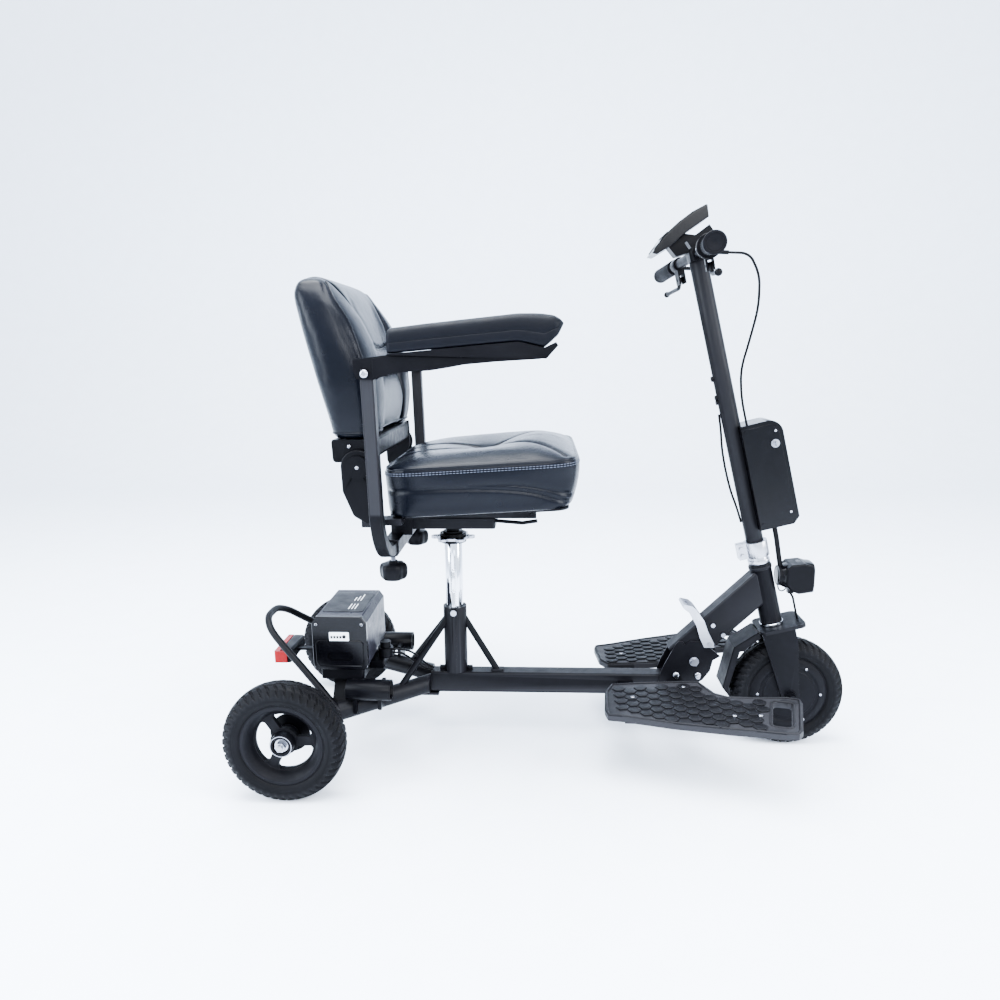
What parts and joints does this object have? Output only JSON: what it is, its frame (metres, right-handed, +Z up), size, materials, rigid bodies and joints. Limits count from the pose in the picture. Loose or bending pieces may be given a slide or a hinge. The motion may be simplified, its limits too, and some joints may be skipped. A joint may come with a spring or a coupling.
{
  "type": "mobility scooter",
  "caption": "Folding three-wheeled electric mobility scooter with swivel seat, flip-up armrests, footplates, rear battery and tiller handlebar.",
  "frame": {"origin": "on the floor, midway between the front and rear axles, on the centre line", "axes": "+X forwards, +Y to the rider's left, +Z up"},
  "size_m": [1.35, 0.62, 1.196],
  "materials": {
    "frame_black": "satin",
    "tyre_black": "matte",
    "rim_black": "satin",
    "motor_black": "satin",
    "chrome": "polished",
    "silver": "satin",
    "steel": "satin",
    "plastic_black": "satin",
    "tread_black": "matte",
    "grip_black": "matte",
    "cable_black": "satin",
    "battery_grey": "satin",
    "battery_black": "satin",
    "lens_red": "gloss",
    "lens_clear": "gloss",
    "upholstery": "satin",
    "armrest_pu": "satin"
  },
  "bodies": {
    "frame": {"main_beam": "frame_black", "seat_column": "frame_black", "rear_arms": "frame_black", "socket_tubes": "plastic_black", "handle_loop": "frame_black", "battery_tray": "plastic_black", "battery_leads": "cable_black", "tail_light_housing": "plastic_black", "tail_light_lens": "lens_red", "fold_brackets": "frame_black", "frame_fasteners": "steel", "footplate_right": "tread_black", "footplate_left": "tread_black"},
    "battery": {"battery_case": "battery_grey", "battery_cap": "battery_black"},
    "rear_wheel_right": {"rear_tyre_right": "tyre_black", "rear_rim_right": "motor_black"},
    "rear_wheel_left": {"rear_tyre_left": "tyre_black", "rear_rim_left": "motor_black"},
    "front_frame": {"neck_tube": "frame_black", "head_tube": "frame_black", "neck_fasteners": "steel"},
    "fold_latch": {"fold_lever": "silver"},
    "steering": {"fork": "frame_black", "front_axle": "steel", "mudguard": "plastic_black", "stem": "frame_black", "stem_clamp": "silver", "handlebar": "frame_black", "bar_clamp": "plastic_black", "bar_fittings": "plastic_black", "left_grip": "grip_black", "controller_box": "plastic_black", "display_case": "plastic_black", "headlight_housing": "plastic_black", "headlight_lens": "lens_clear", "harness": "cable_black", "brake_cable": "cable_black"},
    "front_wheel": {"front_tyre": "tyre_black", "hub_motor": "motor_black"},
    "throttle": {"throttle_grip": "grip_black"},
    "brake_right": {"brake_lever_right": "plastic_black"},
    "brake_left": {"brake_lever_left": "plastic_black"},
    "key": {"key_switch": "steel"},
    "seat_height_post": {"seat_post": "chrome", "swivel_plate": "frame_black"},
    "seat_turntable": {"seat_base": "frame_black"},
    "seat_carriage": {"seat_pan": "frame_black", "hinge_covers": "plastic_black", "seat_cushion": "upholstery"},
    "backrest": {"backrest_cover": "plastic_black", "backrest_cushion": "upholstery"},
    "arm_slide_right": {"arm_post_right": "frame_black"},
    "arm_slide_left": {"arm_post_left": "frame_black"},
    "armrest_right": {"arm_bracket_right": "plastic_black", "arm_pad_right": "armrest_pu"},
    "armrest_left": {"arm_bracket_left": "plastic_black", "arm_pad_left": "armrest_pu"},
    "knob_right": {"clamp_knob_right": "plastic_black"},
    "knob_left": {"clamp_knob_left": "plastic_black"}
  },
  "joints": [
    {"name": "fold", "type": "hinge", "parent": "frame", "child": "front_frame", "pos_m": [0.331, 0, 0.203], "axis": [0, 1, 0], "range_deg": [-15, 0]},
    {"name": "steer", "type": "hinge", "parent": "front_frame", "child": "steering", "pos_m": [0.5475, 0, 0.1275], "axis": [-0.238, 0, 0.9713], "range_deg": [-25, 25]},
    {"name": "front_wheel_spin", "type": "hinge", "parent": "steering", "child": "front_wheel", "pos_m": [0.5475, 0, 0.1275], "axis": [0, 1, 0], "continuous": true},
    {"name": "rear_wheel_right_spin", "type": "hinge", "parent": "frame", "child": "rear_wheel_right", "pos_m": [-0.5475, -0.273, 0.1275], "axis": [0, 1, 0], "continuous": true},
    {"name": "rear_wheel_left_spin", "type": "hinge", "parent": "frame", "child": "rear_wheel_left", "pos_m": [-0.5475, 0.273, 0.1275], "axis": [0, 1, 0], "continuous": true},
    {"name": "fold_lever_release", "type": "hinge", "parent": "front_frame", "child": "fold_latch", "pos_m": [0.364, 0, 0.246], "axis": [0, -1, 0], "range_deg": [0, 30]},
    {"name": "seat_height", "type": "slide", "parent": "frame", "child": "seat_height_post", "axis": [0, 0, 1], "range_m": [-0.06, 0.04]},
    {"name": "seat_swivel", "type": "hinge", "parent": "seat_height_post", "child": "seat_turntable", "pos_m": [-0.2215, 0, 0.495], "axis": [0, 0, 1], "range_deg": [-90, 90]},
    {"name": "seat_slide", "type": "slide", "parent": "seat_turntable", "child": "seat_carriage", "axis": [1, 0, 0], "range_m": [-0.025, 0.025]},
    {"name": "backrest_fold", "type": "hinge", "parent": "seat_carriage", "child": "backrest", "pos_m": [-0.38, 0, 0.688], "axis": [0, 1, 0], "range_deg": [0, 45]},
    {"name": "arm_width_right", "type": "slide", "parent": "seat_carriage", "child": "arm_slide_right", "axis": [0, -1, 0], "range_m": [-0.01, 0.05]},
    {"name": "arm_width_left", "type": "slide", "parent": "seat_carriage", "child": "arm_slide_left", "axis": [0, 1, 0], "range_m": [-0.01, 0.05]},
    {"name": "arm_flip_right", "type": "hinge", "parent": "arm_slide_right", "child": "armrest_right", "pos_m": [-0.3415, -0.2795, 0.8716], "axis": [0, -1, 0], "range_deg": [0, 85]},
    {"name": "arm_flip_left", "type": "hinge", "parent": "arm_slide_left", "child": "armrest_left", "pos_m": [-0.3415, 0.2795, 0.8716], "axis": [0, -1, 0], "range_deg": [0, 85]},
    {"name": "knob_right_turn", "type": "hinge", "parent": "seat_carriage", "child": "knob_right", "pos_m": [-0.332, -0.15, 0.455], "axis": [0, 0, 1], "range_deg": [-180, 180]},
    {"name": "knob_left_turn", "type": "hinge", "parent": "seat_carriage", "child": "knob_left", "pos_m": [-0.332, 0.15, 0.455], "axis": [0, 0, 1], "range_deg": [-180, 180]},
    {"name": "battery_slide", "type": "slide", "parent": "frame", "child": "battery", "axis": [0, -1, 0], "range_m": [0, 0.09]},
    {"name": "throttle_twist", "type": "hinge", "parent": "steering", "child": "throttle", "pos_m": [0.29088, -0.20667, 1.09488], "axis": [-0.1135, -0.9912, -0.0686], "range_deg": [0, 30], "stiffness_Nm_per_rad": 0.3},
    {"name": "brake_right_pull", "type": "hinge", "parent": "steering", "child": "brake_right", "pos_m": [0.30357, -0.15763, 1.06498], "axis": [-0.9704, 0.1254, -0.2063], "range_deg": [0, 10], "stiffness_Nm_per_rad": 2},
    {"name": "brake_left_pull", "type": "hinge", "parent": "steering", "child": "brake_left", "pos_m": [0.30357, 0.15763, 1.06498], "axis": [0.9704, 0.1254, 0.2063], "range_deg": [0, 10], "stiffness_Nm_per_rad": 2},
    {"name": "key_turn", "type": "hinge", "parent": "steering", "child": "key", "pos_m": [0.48132, -0.045, 0.70844], "axis": [0, 1, 0], "range_deg": [0, 90]}
  ]
}
